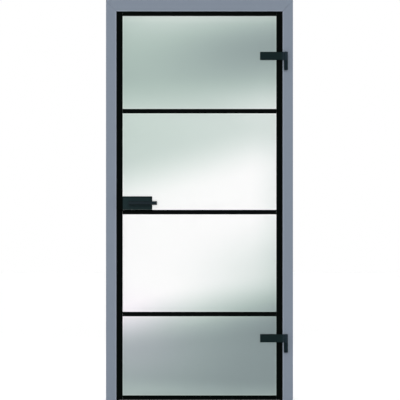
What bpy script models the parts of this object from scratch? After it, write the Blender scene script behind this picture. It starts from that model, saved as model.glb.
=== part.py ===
# A frameless glass door with stuck-on glazing bars, hung on clamp hinges in a rebated timber frame.
# Metres. X runs to the right seen from the front, Y into the wall, Z up from the floor.
import bmesh
import bpy
from math import atan2, cos, pi, radians, sin, sqrt, tan
from mathutils import Matrix, Vector

# Opening and wall
OPENING_WIDTH = 0.846  # rebate wall to rebate wall
OPENING_HEIGHT = 1.986  # floor to head rebate
REBATE_DEPTH = 0.0255  # casing front to stop
STOP_HEIGHT = 0.012  # how far the lining stands into the opening
WALL_THICKNESS = 0.140

# Clearances
FIT = 0.0003  # between pieces that touch
SIDE_GAP = 0.006
TOP_GAP = 0.006
FLOOR_GAP = 0.008

# Lining and casings
LINING_BEHIND = 0.010  # how far it reaches behind the rebate wall
CASING_WIDTH = 0.0525
HEAD_CASING_WIDTH = 0.0595
CASING_THICKNESS = 0.016
CASING_LEG = 0.010  # thickness of the leg that forms the rebate wall
CASING_OUTER_ROUND = 0.0012
CASING_INNER_ROUND = 0.001
REAR_REVEAL = 0.004  # lining edge left showing beside a rear casing
TONGUE_AND_GROOVE = 0.006
GROOVE_DEPTH = 0.012
GROOVE_FROM_FACE = 0.008  # passage face of the lining to the groove
ARRIS = 0.001

# Seal
SEAL_WIDTH = 0.0092
SEAL_THICKNESS = 0.0036
SEAL_ROUND = 0.0018
SEAL_FOOT = 0.0022
SEAL_FOOT_DEPTH = 0.005

# Leaf
GLASS_THICKNESS = 0.008
GLASS_ARRIS = 0.0006
STRIP_THICKNESS = 0.002
STRIP_ARRIS = 0.0004
STILE_WIDTH = 0.026
TOP_RAIL_HEIGHT = 0.018
BOTTOM_RAIL_HEIGHT = 0.024
BAR_HEIGHT = 0.023
UPPER_BAR_BELOW_HINGE = 0.2482  # plate to bar
MIDDLE_BAR_HEIGHT = 0.9647  # floor to the bar's middle
LOWER_BAR_ABOVE_HINGE = 0.0903  # plate to bar

# Hinges
HINGE_BELOW_HEAD = 0.2067  # head rebate to the top of the upper plate
LOWER_HINGE_HEIGHT = 0.3440  # floor to the top of the lower plate
PLATE_REACH = 0.1148  # rebate wall to the end of a plate
PLATE_HEIGHT = 0.0413
PLATE_ROUND = 0.0025
PLATE_ARRIS = 0.0008
PLATE_FROM_REBATE = 0.008  # rebate wall to the plate's body, which only its arm crosses
ARM_THICKNESS = 0.00675
ARM_CLEARANCE = 0.00525  # casing front to arm
BARREL_RADIUS = 0.010
FRAME_BARREL_LENGTH = 0.051
BARREL_GAP = 0.0004
PIN_RADIUS = 0.004
BORE_ROOF = 0.004
TONGUE_THICKNESS = 0.008
TONGUE_HEIGHT = 0.044
TONGUE_END = 0.056
RECEIVER_LET_IN = 0.0012  # how deep it lies in the lining and in the casing
RECEIVER_FLANGE = 0.003
RECEIVER_FLANGE_OVER = 0.018
RECEIVER_OUTER_WALL = 0.0035
RECEIVER_END_WALL = 0.004
SCREW_HOLE = 0.0025
CLAMP_PLATE_THICKNESS = 0.0095
BOSS_RADIUS = 0.007
BOSS_HOLE_RADIUS = 0.0075
PLATE_BOSSES = (0.022, 0.062)  # from the end of a plate

# Lock
LOCK_LENGTH = 0.150
LOCK_HEIGHT = 0.0685
LOCK_FRONT = 0.010  # how far the case stands before the casing front
LOCK_ROUND = 0.002
REAR_LOCK_THICKNESS = 0.0117
BACKSET = 0.065  # leaf edge to spindle
LOCK_BOSSES = (0.014, 0.122)  # from the case's end at the stile
SPINDLE_SIDE = 0.008
SPINDLE_HOLE_RADIUS = 0.0064
GLASS_SPINDLE_RADIUS = 0.011
LATCH_HEIGHT = 0.024
LATCH_THICKNESS = 0.0059
LATCH_LENGTH = 0.020
LATCH_BEVEL = 0.004
STRIKE_HEIGHT = 0.160
STRIKE_WIDTH = 0.021
STRIKE_FRONT = 0.0009  # casing front to strike plate
STRIKE_THICKNESS = 0.0017
STRIKE_SCREW = 0.062  # latch to a screw hole, up and down
STRIKE_HOLE = 0.0022
MOUTH_CLEARANCE = 0.0025  # above and below the latch
MOUTH_DEPTH = 0.014

# Levers
LEVER_REACH = 0.1358  # spindle to tip
LEVER_HEIGHT = 0.0185
LEVER_DEPTH = 0.010
LEVER_STANDOFF = 0.038
LEVER_ROUND = 0.0015
LEVER_ARRIS = 0.0006
NECK_RADIUS = 0.0076
NECK_SEAT = 0.003  # how deep a neck sits in its plate
NECK_CLEARANCE = 0.0005
SPINDLE_ENGAGEMENT = 0.020

# Facets
ARC_STEPS = 4
ROUND_SIDES = 32
HOLE_SIDES = 24
CUT_BEYOND = 0.002  # how far a cutter runs past the face it opens
SAME_POINT = 1e-6

# Places across the wall
STOP_Y = REBATE_DEPTH
SEAL_BACK_Y = STOP_Y - FIT
SEAL_FRONT_Y = SEAL_BACK_Y - SEAL_THICKNESS
REAR_STRIP_BACK_Y = SEAL_FRONT_Y - FIT
REAR_STRIP_FRONT_Y = REAR_STRIP_BACK_Y - STRIP_THICKNESS
GLASS_BACK_Y = REAR_STRIP_FRONT_Y - FIT
GLASS_FRONT_Y = GLASS_BACK_Y - GLASS_THICKNESS
ON_GLASS_FRONT_Y = GLASS_FRONT_Y - FIT
ON_GLASS_REAR_Y = GLASS_BACK_Y + FIT
FRONT_STRIP_Y = ON_GLASS_FRONT_Y - STRIP_THICKNESS
OVER_STRIP_Y = FRONT_STRIP_Y - FIT
LINING_END_Y = CASING_THICKNESS + WALL_THICKNESS
REAR_CASING_Y = LINING_END_Y + FIT

# Places across the opening and up it
HALF_OPENING = OPENING_WIDTH / 2
HALF_LEAF = HALF_OPENING - SIDE_GAP
LEAF_TOP = OPENING_HEIGHT - TOP_GAP
LEAF_BOTTOM = FLOOR_GAP
GLASS_EDGE = HALF_LEAF - STILE_WIDTH  # inner edge of the stile strips
CASING_MITRE = HEAD_CASING_WIDTH / CASING_WIDTH
EVEN_MITRE = 1
PLATE_END_X = HALF_OPENING - PLATE_REACH
PLATE_BODY_X = HALF_OPENING - PLATE_FROM_REBATE
RECEIVER_X = HALF_OPENING + LINING_BEHIND - RECEIVER_LET_IN
TONGUE_X = RECEIVER_X + RECEIVER_FLANGE + FIT
AXIS_X = TONGUE_X + TONGUE_THICKNESS / 2
AXIS_Y = -(ARM_CLEARANCE + BARREL_RADIUS)
ARM_BACK_Y = -ARM_CLEARANCE
PLATE_FRONT_Y = ARM_BACK_Y - ARM_THICKNESS
PLATE_TOPS = {"upper": OPENING_HEIGHT - HINGE_BELOW_HEAD, "lower": LOWER_HINGE_HEIGHT}
BAR_CENTRES = {
    "upper": PLATE_TOPS["upper"] - PLATE_HEIGHT - UPPER_BAR_BELOW_HINGE - BAR_HEIGHT / 2,
    "middle": MIDDLE_BAR_HEIGHT,
    "lower": PLATE_TOPS["lower"] + LOWER_BAR_ABOVE_HINGE + BAR_HEIGHT / 2,
}
LOCK_BOTTOM = BAR_CENTRES["middle"] + BAR_HEIGHT / 2 + FIT
LOCK_CENTRE = LOCK_BOTTOM + LOCK_HEIGHT / 2
LOCK_X = -(GLASS_EDGE - FIT)
SPINDLE_X = BACKSET - HALF_LEAF
REAR_LOCK_Y = ON_GLASS_REAR_Y + REAR_LOCK_THICKNESS
LATCH_BACK_Y = OVER_STRIP_Y - FIT
LATCH_FRONT_Y = LATCH_BACK_Y - LATCH_THICKNESS

# The origin lies on the foot of the hinge side's lining.
ORIGIN = Vector((
    HALF_OPENING + (LINING_BEHIND - STOP_HEIGHT) / 2,
    (STOP_Y + LINING_END_Y) / 2,
    0,
))


def clear_scene():
    for old in list(bpy.data.objects):
        bpy.data.objects.remove(old)


def collection(name, hidden=False):
    made = bpy.data.collections.new(name)
    made.hide_render = hidden
    bpy.context.scene.collection.children.link(made)
    return made


def material(name, colour, roughness, metallic=0.0, alpha=1.0):
    made = bpy.data.materials.new(name)
    made.use_nodes = True
    shader = made.node_tree.nodes["Principled BSDF"]
    shader.inputs["Base Color"].default_value = (*colour, 1)
    shader.inputs["Roughness"].default_value = roughness
    shader.inputs["Metallic"].default_value = metallic
    shader.inputs["Alpha"].default_value = alpha
    made.diffuse_color = (*colour, alpha)
    made.roughness = roughness
    made.metallic = metallic
    return made


def empty(name, place, parent=None):
    made = bpy.data.objects.new(name, None)
    made.location = place
    if parent:
        made.parent = parent
        made.matrix_parent_inverse = Matrix.Translation(-Vector(parent["place"]))
    made["place"] = place
    parts.objects.link(made)
    return made


# A closed mesh becomes a piece of the door, carried by one of its pivots.
def piece(name, mesh, pivot, finish, place=(0, 0, 0)):
    made = bpy.data.objects.new(name, mesh)
    made.location = place
    made.parent = pivot
    made.matrix_parent_inverse = Matrix.Translation(-Vector(pivot["place"]))
    made.data.materials.append(material(name, *finish))
    parts.objects.link(made)
    return made


# A closed mesh that only cuts or joins another piece.
def tool(name, mesh, pivot, place=(0, 0, 0)):
    made = bpy.data.objects.new(name, mesh)
    made.location = place
    made.parent = pivot
    made.matrix_parent_inverse = Matrix.Translation(-Vector(pivot["place"]))
    made.hide_render = True
    made.display_type = "WIRE"
    cutters.objects.link(made)
    return made


def combine(target, other, operation):
    step = target.modifiers.new(other.name, "BOOLEAN")
    step.operation = operation
    step.solver = "EXACT"
    step.object = other


def cut(target, other):
    combine(target, other, "DIFFERENCE")


def join(target, other):
    combine(target, other, "UNION")


def bevel(target, width, segments=1):
    step = target.modifiers.new("Bevel", "BEVEL")
    step.width = width
    step.segments = segments
    step.limit_method = "ANGLE"
    step.angle_limit = radians(50)


def smooth(target):
    target.data.shade_smooth()
    target.data.set_sharp_from_angle(angle=radians(35))


def box_mesh(name, low, high):
    mesh = bpy.data.meshes.new(name)
    shape = bmesh.new()
    size = Vector(high) - Vector(low)
    middle = (Vector(high) + Vector(low)) / 2
    place = Matrix.Translation(middle) @ Matrix.Diagonal((*size, 1))
    bmesh.ops.create_cube(shape, size=1, matrix=place)
    shape.to_mesh(mesh)
    shape.free()
    return mesh


# A cylinder between two heights on an axis through a point: "x", "y" or "z".
def rod_mesh(name, radius, start, end, across, axis, sides=HOLE_SIDES):
    turn = {
        "x": Matrix.Rotation(pi / 2, 4, "Y"),
        "y": Matrix.Rotation(-pi / 2, 4, "X"),
        "z": Matrix.Identity(4),
    }[axis]
    middle = (start + end) / 2
    first, second = across
    place = {
        "x": (middle, first, second),
        "y": (first, middle, second),
        "z": (first, second, middle),
    }[axis]
    mesh = bpy.data.meshes.new(name)
    shape = bmesh.new()
    bmesh.ops.create_cone(
        shape,
        cap_ends=True,
        segments=sides,
        radius1=radius,
        radius2=radius,
        depth=abs(end - start),
        matrix=Matrix.Translation(place) @ turn,
    )
    shape.to_mesh(mesh)
    shape.free()
    return mesh


# Corners are (x, y, radius); each one with a radius becomes an arc.
def rounded(corners, steps=ARC_STEPS):
    outline = []
    for index, (x, y, radius) in enumerate(corners):
        corner = Vector((x, y))
        if not radius:
            outline.append(corner)
            continue
        before = (Vector(corners[index - 1][:2]) - corner).normalized()
        after = (Vector(corners[(index + 1) % len(corners)][:2]) - corner).normalized()
        half_angle = before.angle(after) / 2
        centre = corner + (before + after).normalized() * radius / sin(half_angle)
        reach = radius / tan(half_angle)
        first = corner + before * reach - centre
        last = corner + after * reach - centre
        start = atan2(first.y, first.x)
        turn = (atan2(last.y, last.x) - start + pi) % (2 * pi) - pi
        for step in range(steps + 1):
            angle = start + turn * step / steps
            point = centre + radius * Vector((cos(angle), sin(angle)))
            if not outline or (point - outline[-1]).length > SAME_POINT:
                outline.append(point)
    return outline


# A flat outline made solid: it spans half the depth on each side of its plane.
def prism_mesh(name, outline, depth):
    curve = bpy.data.curves.new(name, "CURVE")
    curve.dimensions = "2D"
    curve.fill_mode = "BOTH"
    curve.extrude = depth / 2
    spline = curve.splines.new("POLY")
    spline.points.add(len(outline) - 1)
    for point, (x, y) in zip(spline.points, outline):
        point.co = (x, y, 0, 1)
    spline.use_cyclic_u = True
    guide = bpy.data.objects.new(name, curve)
    cutters.objects.link(guide)
    graph = bpy.context.evaluated_depsgraph_get()
    mesh = bpy.data.meshes.new_from_object(guide.evaluated_get(graph))
    bpy.data.objects.remove(guide)
    bpy.data.curves.remove(curve)
    shape = bmesh.new()
    shape.from_mesh(mesh)
    bmesh.ops.remove_doubles(shape, verts=shape.verts, dist=SAME_POINT)
    bmesh.ops.dissolve_limit(shape, angle_limit=radians(0.5), verts=shape.verts, edges=shape.edges)
    bmesh.ops.recalc_face_normals(shape, faces=shape.faces)
    shape.to_mesh(mesh)
    shape.free()
    mesh.name = name
    return mesh


# A frame piece from its cross-section, given as (outward from the rebate wall, into the wall).
# Side pieces stand on the floor; their tops and both ends of the head piece are mitred.
def moulding(name, section, side, slope, finish):
    flip = -1 if side == "lock_side" else 1
    mesh = prism_mesh(name, [(flip * out, into) for out, into in section], OPENING_HEIGHT)
    for vertex in mesh.vertices:
        out = flip * vertex.co.x
        upper = vertex.co.z > 0
        if side == "head":
            end = HALF_OPENING + out / slope - FIT / 2 * sqrt(1 + 1 / slope**2)
            vertex.co.z = end if upper else -end
        else:
            end = OPENING_HEIGHT + out * slope - FIT / 2 * sqrt(1 + slope**2)
            vertex.co.z = end if upper else 0
    places = {
        "hinge_side": (HALF_OPENING, 0, 0),
        "lock_side": (-HALF_OPENING, 0, 0),
        "head": (0, 0, OPENING_HEIGHT),
    }
    made = piece(name, mesh, frame, finish, places[side])
    if side == "head":
        made.rotation_euler = (0, -pi / 2, 0)
    smooth(made)
    return made


LACQUER = ((0.220, 0.258, 0.315), 0.42)
RUBBER = ((0.004, 0.005, 0.005), 0.75)
GLASS = ((0.55, 0.62, 0.60), 0.25, 0.0, 0.5)
BLACK = ((0.003, 0.004, 0.004), 0.45)
HARDWARE = ((0.014, 0.024, 0.026), 0.35, 0.6)
STEEL = ((0.42, 0.43, 0.44), 0.35, 1.0)
SIDES = ("hinge_side", "lock_side", "head")


def lining_section():
    groove = GROOVE_FROM_FACE - STOP_HEIGHT
    foot = SEAL_FOOT / 2
    seat = foot_centre()
    return rounded((
        (-STOP_HEIGHT, STOP_Y, ARRIS),
        (seat - foot - FIT, STOP_Y, 0),
        (seat - foot - FIT, STOP_Y + SEAL_FOOT_DEPTH, 0),
        (seat + foot + FIT, STOP_Y + SEAL_FOOT_DEPTH, 0),
        (seat + foot + FIT, STOP_Y, 0),
        (LINING_BEHIND, STOP_Y, 0),
        (LINING_BEHIND, LINING_END_Y, 0),
        (groove + TONGUE_AND_GROOVE + FIT, LINING_END_Y, 0),
        (groove + TONGUE_AND_GROOVE + FIT, LINING_END_Y - GROOVE_DEPTH, 0),
        (groove - FIT, LINING_END_Y - GROOVE_DEPTH, 0),
        (groove - FIT, LINING_END_Y, 0),
        (-STOP_HEIGHT, LINING_END_Y, ARRIS),
    ))


def foot_centre():
    return -FIT - SEAL_WIDTH / 2


def seal_section():
    foot = SEAL_FOOT / 2
    seat = foot_centre()
    return rounded((
        (-FIT - SEAL_WIDTH, SEAL_BACK_Y, 0),
        (-FIT - SEAL_WIDTH, SEAL_FRONT_Y, SEAL_ROUND),
        (-FIT, SEAL_FRONT_Y, SEAL_ROUND),
        (-FIT, SEAL_BACK_Y, 0),
        (seat + foot, SEAL_BACK_Y, 0),
        (seat + foot, STOP_Y + SEAL_FOOT_DEPTH - FIT, 0),
        (seat - foot, STOP_Y + SEAL_FOOT_DEPTH - FIT, 0),
        (seat - foot, SEAL_BACK_Y, 0),
    ))


def front_casing_section(width):
    return rounded((
        (0, 0, CASING_INNER_ROUND),
        (width, 0, CASING_OUTER_ROUND),
        (width, CASING_THICKNESS, 0),
        (CASING_LEG, CASING_THICKNESS, 0),
        (CASING_LEG, SEAL_BACK_Y, 0),
        (0, SEAL_BACK_Y, 0),
    ))


# Its back lies on the wall and steps over the end of the lining.
def rear_casing_section(width):
    groove = GROOVE_FROM_FACE - STOP_HEIGHT
    tongue_end = LINING_END_Y - GROOVE_DEPTH + FIT
    return rounded((
        (REAR_REVEAL - STOP_HEIGHT, REAR_CASING_Y, 0),
        (groove, REAR_CASING_Y, 0),
        (groove, tongue_end, 0),
        (groove + TONGUE_AND_GROOVE, tongue_end, 0),
        (groove + TONGUE_AND_GROOVE, REAR_CASING_Y, 0),
        (LINING_BEHIND + FIT, REAR_CASING_Y, 0),
        (LINING_BEHIND + FIT, LINING_END_Y, 0),
        (width, LINING_END_Y, 0),
        (width, REAR_CASING_Y + CASING_THICKNESS, CASING_OUTER_ROUND),
        (REAR_REVEAL - STOP_HEIGHT, REAR_CASING_Y + CASING_THICKNESS, CASING_INNER_ROUND),
    ))


def build_frame():
    linings = {}
    casings = {}
    for side in SIDES:
        width = HEAD_CASING_WIDTH if side == "head" else CASING_WIDTH
        linings[side] = moulding(f"lining_{side}", lining_section(), side, EVEN_MITRE, LACQUER)
        moulding(f"seal_{side}", seal_section(), side, EVEN_MITRE, RUBBER)
        casings[side] = moulding(
            f"casing_front_{side}", front_casing_section(width), side, CASING_MITRE, LACQUER
        )
        moulding(f"casing_rear_{side}", rear_casing_section(width), side, CASING_MITRE, LACQUER)
    return linings, casings


# The strike plate lies flush in the lock side's rebate wall, over a pocket for the latch.
def build_strike(casing):
    wall = -HALF_OPENING
    low = LOCK_CENTRE - STRIKE_HEIGHT / 2
    high = LOCK_CENTRE + STRIKE_HEIGHT / 2
    back = STRIKE_FRONT + STRIKE_WIDTH
    recess = tool("strike_recess", box_mesh(
        "strike_recess",
        (wall - STRIKE_THICKNESS - FIT, STRIKE_FRONT - FIT, low - FIT),
        (wall + CUT_BEYOND, back + FIT, high + FIT),
    ), frame)
    cut(casing, recess)
    mouth_low = LOCK_CENTRE - LATCH_HEIGHT / 2 - MOUTH_CLEARANCE
    mouth_high = LOCK_CENTRE + LATCH_HEIGHT / 2 + MOUTH_CLEARANCE
    mouth = tool("strike_mouth", box_mesh(
        "strike_mouth",
        (wall - MOUTH_DEPTH, LATCH_FRONT_Y - FIT, mouth_low),
        (wall + CUT_BEYOND, LATCH_BACK_Y + MOUTH_CLEARANCE, mouth_high),
    ), frame)
    cut(casing, mouth)
    strike = piece("strike_plate", box_mesh(
        "strike_plate",
        (wall - STRIKE_THICKNESS, STRIKE_FRONT, low),
        (wall, back, high),
    ), frame, STEEL)
    cut(strike, mouth)
    for end, height in (("foot", LOCK_CENTRE - STRIKE_SCREW), ("head", LOCK_CENTRE + STRIKE_SCREW)):
        hole = f"strike_hole_{end}"
        place = ((STRIKE_FRONT + back) / 2, height)
        start = wall - STRIKE_THICKNESS - CUT_BEYOND
        cut(strike, tool(hole, rod_mesh(hole, STRIKE_HOLE, start, wall + CUT_BEYOND, place, "x"), frame))


def strip(name, low_x, high_x, low_z, high_z, face):
    depths = {
        "front": (FRONT_STRIP_Y, ON_GLASS_FRONT_Y),
        "rear": (ON_GLASS_REAR_Y, REAR_STRIP_BACK_Y),
    }
    near, far = depths[face]
    mesh = box_mesh(name, (low_x, near, low_z), (high_x, far, high_z))
    bevel(piece(f"{face}_{name}", mesh, leaf, BLACK), STRIP_ARRIS)


def build_strips():
    inner = GLASS_EDGE - FIT
    for face in ("front", "rear"):
        strip("stile_hinge_side", GLASS_EDGE, HALF_LEAF, LEAF_BOTTOM, LEAF_TOP, face)
        strip("stile_lock_side", -HALF_LEAF, -GLASS_EDGE, LEAF_BOTTOM, LEAF_TOP, face)
        strip("rail_top", -inner, inner, LEAF_TOP - TOP_RAIL_HEIGHT, LEAF_TOP, face)
        strip("rail_bottom", -inner, inner, LEAF_BOTTOM, LEAF_BOTTOM + BOTTOM_RAIL_HEIGHT, face)
        for level, centre in BAR_CENTRES.items():
            low = centre - BAR_HEIGHT / 2
            strip(f"bar_{level}", -inner, inner, low, low + BAR_HEIGHT, face)


def boss_places():
    places = []
    for top in PLATE_TOPS.values():
        for from_end in PLATE_BOSSES:
            places.append((PLATE_END_X + from_end, top - PLATE_HEIGHT / 2))
    for from_end in LOCK_BOSSES:
        places.append((LOCK_X + from_end, LOCK_CENTRE))
    return places


def build_glass():
    pane = piece("glass_leaf", box_mesh(
        "glass_leaf",
        (-HALF_LEAF, GLASS_FRONT_Y, LEAF_BOTTOM),
        (HALF_LEAF, GLASS_BACK_Y, LEAF_TOP),
    ), leaf, GLASS)
    bevel(pane, GLASS_ARRIS)
    start = GLASS_FRONT_Y - CUT_BEYOND
    end = GLASS_BACK_Y + CUT_BEYOND
    for number, place in enumerate(boss_places()):
        name = f"glass_hole_{number}"
        cut(pane, tool(name, rod_mesh(name, BOSS_HOLE_RADIUS, start, end, place, "y"), leaf))
    name = "glass_spindle_hole"
    place = (SPINDLE_X, LOCK_CENTRE)
    cut(pane, tool(name, rod_mesh(name, GLASS_SPINDLE_RADIUS, start, end, place, "y"), leaf))


# Seen from above: a body clamped on the glass, an arm across the casing, and the knuckle.
def plate_outline():
    front_rise = PLATE_FRONT_Y - AXIS_Y
    start = pi - atan2(front_rise, sqrt(BARREL_RADIUS**2 - front_rise**2))
    steps = ROUND_SIDES * 3 // 4
    knuckle = []
    for step in range(steps + 1):
        angle = start + (5 * pi / 2 - start) * step / steps
        x = AXIS_X + BARREL_RADIUS * cos(angle)
        knuckle.append((x, AXIS_Y + BARREL_RADIUS * sin(angle), 0))
    pad_edge = GLASS_EDGE - FIT
    return rounded([
        (PLATE_END_X, ON_GLASS_FRONT_Y, 0),
        (PLATE_END_X, PLATE_FRONT_Y, PLATE_ROUND),
        *knuckle,
        (PLATE_BODY_X, ARM_BACK_Y, PLATE_ROUND),
        (PLATE_BODY_X, OVER_STRIP_Y, 0),
        (pad_edge, OVER_STRIP_Y, 0),
        (pad_edge, ON_GLASS_FRONT_Y, 0),
    ])


def build_leaf_plate(level, top):
    name = f"hinge_{level}_leaf_plate"
    place = (0, 0, top - PLATE_HEIGHT / 2)
    plate = piece(name, prism_mesh(name, plate_outline(), PLATE_HEIGHT), leaf, HARDWARE, place)
    bevel(plate, PLATE_ARRIS)
    smooth(plate)
    bottom = top - PLATE_HEIGHT
    bore = f"hinge_{level}_bore"
    radius = PIN_RADIUS + FIT
    cut(plate, tool(bore, rod_mesh(
        bore, radius, bottom - CUT_BEYOND, top - BORE_ROOF, (AXIS_X, AXIS_Y), "z"
    ), leaf))
    for number, from_end in enumerate(PLATE_BOSSES):
        boss = f"hinge_{level}_boss_{number}"
        place = (PLATE_END_X + from_end, top - PLATE_HEIGHT / 2)
        join(plate, tool(boss, rod_mesh(
            boss, BOSS_RADIUS, PLATE_FRONT_Y + ARM_THICKNESS, GLASS_BACK_Y, place, "y"
        ), leaf))


def build_clamp_plate(level, top):
    name = f"hinge_{level}_clamp_plate"
    end = GLASS_EDGE - FIT
    outline = rounded((
        (PLATE_END_X, ON_GLASS_REAR_Y, 0),
        (end, ON_GLASS_REAR_Y, 0),
        (end, ON_GLASS_REAR_Y + CLAMP_PLATE_THICKNESS, PLATE_ROUND),
        (PLATE_END_X, ON_GLASS_REAR_Y + CLAMP_PLATE_THICKNESS, PLATE_ROUND),
    ))
    place = (0, 0, top - PLATE_HEIGHT / 2)
    plate = piece(name, prism_mesh(name, outline, PLATE_HEIGHT), leaf, HARDWARE, place)
    bevel(plate, PLATE_ARRIS)
    smooth(plate)


# Barrel and pin are turned as one; the tongue runs back through the casing into its receiver.
def build_frame_knuckle(level, top, lining, casing):
    name = f"hinge_{level}_frame_knuckle"
    barrel_top = top - PLATE_HEIGHT - BARREL_GAP
    barrel_bottom = barrel_top - FRAME_BARREL_LENGTH
    pin_top = top - BORE_ROOF - FIT
    profile = (
        (0, pin_top),
        (PIN_RADIUS - PLATE_ARRIS, pin_top),
        (PIN_RADIUS, pin_top - PLATE_ARRIS),
        (PIN_RADIUS, barrel_top),
        (BARREL_RADIUS - PLATE_ARRIS, barrel_top),
        (BARREL_RADIUS, barrel_top - PLATE_ARRIS),
        (BARREL_RADIUS, barrel_bottom + PLATE_ARRIS),
        (BARREL_RADIUS - PLATE_ARRIS, barrel_bottom),
        (0, barrel_bottom),
    )
    mesh = bpy.data.meshes.new(name)
    mesh.from_pydata([(x, 0, z) for x, z in profile], [(i, i + 1) for i in range(len(profile) - 1)], [])
    knuckle = piece(name, mesh, frame, HARDWARE, (AXIS_X, AXIS_Y, 0))
    turned = knuckle.modifiers.new("Screw", "SCREW")
    turned.steps = ROUND_SIDES
    turned.render_steps = ROUND_SIDES
    turned.use_merge_vertices = True
    turned.merge_threshold = SAME_POINT
    tongue_top = (barrel_top + barrel_bottom + TONGUE_HEIGHT) / 2
    tongue_bottom = tongue_top - TONGUE_HEIGHT
    tongue = f"hinge_{level}_tongue"
    join(knuckle, tool(tongue, box_mesh(
        tongue,
        (TONGUE_X, AXIS_Y, tongue_bottom),
        (TONGUE_X + TONGUE_THICKNESS, TONGUE_END, tongue_top),
    ), frame))
    pocket = f"hinge_{level}_pocket"
    pocket_tool = tool(pocket, box_mesh(
        pocket,
        (TONGUE_X - FIT, -CUT_BEYOND, tongue_bottom - FIT),
        (TONGUE_X + TONGUE_THICKNESS + FIT, TONGUE_END + FIT, tongue_top + FIT),
    ), frame)
    cut(casing, pocket_tool)
    receiver = build_receiver(level, tongue_bottom, tongue_top, lining, casing)
    cut(receiver, pocket_tool)


# A steel pocket with a screwed flange, let into the lining's hidden face and the casing's back.
def build_receiver(level, low, high, lining, casing):
    name = f"hinge_{level}_receiver"
    front = CASING_THICKNESS - RECEIVER_LET_IN
    back = TONGUE_END + FIT + RECEIVER_END_WALL
    outer = TONGUE_X + TONGUE_THICKNESS + FIT + RECEIVER_OUTER_WALL
    cover = FIT + RECEIVER_END_WALL
    receiver = piece(name, box_mesh(
        name,
        (RECEIVER_X, front, low - cover),
        (outer, back, high + cover),
    ), frame, STEEL)
    flange = f"hinge_{level}_flange"
    flange_low = low - cover - RECEIVER_FLANGE_OVER
    flange_high = high + cover + RECEIVER_FLANGE_OVER
    join(receiver, tool(flange, box_mesh(
        flange,
        (RECEIVER_X, STOP_Y, flange_low),
        (RECEIVER_X + RECEIVER_FLANGE, back, flange_high),
    ), frame))
    rout = f"hinge_{level}_lining_rout"
    cut(lining, tool(rout, box_mesh(
        rout,
        (RECEIVER_X - FIT, STOP_Y - CUT_BEYOND, flange_low - FIT),
        (RECEIVER_X + RECEIVER_LET_IN + CUT_BEYOND, back + FIT, flange_high + FIT),
    ), frame))
    rout = f"hinge_{level}_casing_rout"
    cut(casing, tool(rout, box_mesh(
        rout,
        (RECEIVER_X - FIT, front - FIT, low - cover - FIT),
        (outer + FIT, SEAL_BACK_Y + CUT_BEYOND, high + cover + FIT),
    ), frame))
    depth = (STOP_Y + back) / 2
    start = RECEIVER_X - CUT_BEYOND
    for end, height in (("foot", low - cover), ("head", high + cover)):
        over = RECEIVER_FLANGE_OVER / 2
        place = (depth, height - over if end == "foot" else height + over)
        hole = f"hinge_{level}_flange_hole_{end}"
        reach = RECEIVER_X + RECEIVER_FLANGE + CUT_BEYOND
        cut(receiver, tool(hole, rod_mesh(hole, SCREW_HOLE, start, reach, place, "x"), frame))
    return receiver


def build_hinges(lining, casing):
    for level, top in PLATE_TOPS.items():
        build_leaf_plate(level, top)
        build_clamp_plate(level, top)
        build_frame_knuckle(level, top, lining, casing)


# One half of the lock, from its face to the glass, with a seat for the lever's neck.
def lock_half(name, face_y, glass_y):
    outward = 1 if face_y > glass_y else -1
    low = min(face_y, glass_y)
    high = max(face_y, glass_y)
    half = piece(name, box_mesh(
        name,
        (LOCK_X, low, LOCK_BOTTOM),
        (LOCK_X + LOCK_LENGTH, high, LOCK_BOTTOM + LOCK_HEIGHT),
    ), leaf, HARDWARE)
    bevel(half, LOCK_ROUND, 3)
    smooth(half)
    place = (SPINDLE_X, LOCK_CENTRE)
    seat = f"{name}_seat"
    bottom = face_y - outward * (NECK_SEAT + FIT)
    start, end = sorted((bottom, face_y + outward * CUT_BEYOND))
    cut(half, tool(seat, rod_mesh(
        seat, NECK_RADIUS + NECK_CLEARANCE, start, end, place, "y", ROUND_SIDES
    ), leaf))
    hole = f"{name}_spindle_hole"
    cut(half, tool(hole, rod_mesh(
        hole, SPINDLE_HOLE_RADIUS, low - CUT_BEYOND, high + CUT_BEYOND, place, "y"
    ), leaf))
    return half


def build_lock():
    case = lock_half("lock_case", -LOCK_FRONT, ON_GLASS_FRONT_Y)
    for number, from_end in enumerate(LOCK_BOSSES):
        boss = f"lock_boss_{number}"
        place = (LOCK_X + from_end, LOCK_CENTRE)
        join(case, tool(boss, rod_mesh(boss, BOSS_RADIUS, 0, GLASS_BACK_Y, place, "y"), leaf))
    lock_half("lock_rear_plate", REAR_LOCK_Y, ON_GLASS_REAR_Y)
    edge = -HALF_LEAF
    nose = piece("lock_nose", box_mesh(
        "lock_nose",
        (edge, -LOCK_FRONT, LOCK_BOTTOM),
        (LOCK_X - FIT, OVER_STRIP_Y, LOCK_BOTTOM + LOCK_HEIGHT),
    ), leaf, BLACK)
    bevel(nose, STRIP_ARRIS)
    half = LATCH_HEIGHT / 2
    channel = tool("latch_channel", box_mesh(
        "latch_channel",
        (edge - CUT_BEYOND, LATCH_FRONT_Y - FIT, LOCK_CENTRE - half - FIT),
        (edge + LATCH_LENGTH + FIT, OVER_STRIP_Y + CUT_BEYOND, LOCK_CENTRE + half + FIT),
    ), leaf)
    cut(nose, channel)
    outline = rounded((
        (edge + LATCH_LENGTH, LATCH_FRONT_Y, 0),
        (edge + LATCH_LENGTH, LATCH_BACK_Y, 0),
        (edge + LATCH_BEVEL, LATCH_BACK_Y, ARRIS),
        (edge, LATCH_FRONT_Y + ARRIS, 0),
        (edge, LATCH_FRONT_Y, 0),
    ))
    mesh = prism_mesh("latch_bolt", outline, LATCH_HEIGHT)
    smooth(piece("latch_bolt", mesh, leaf, STEEL, (0, 0, LOCK_CENTRE)))


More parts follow.
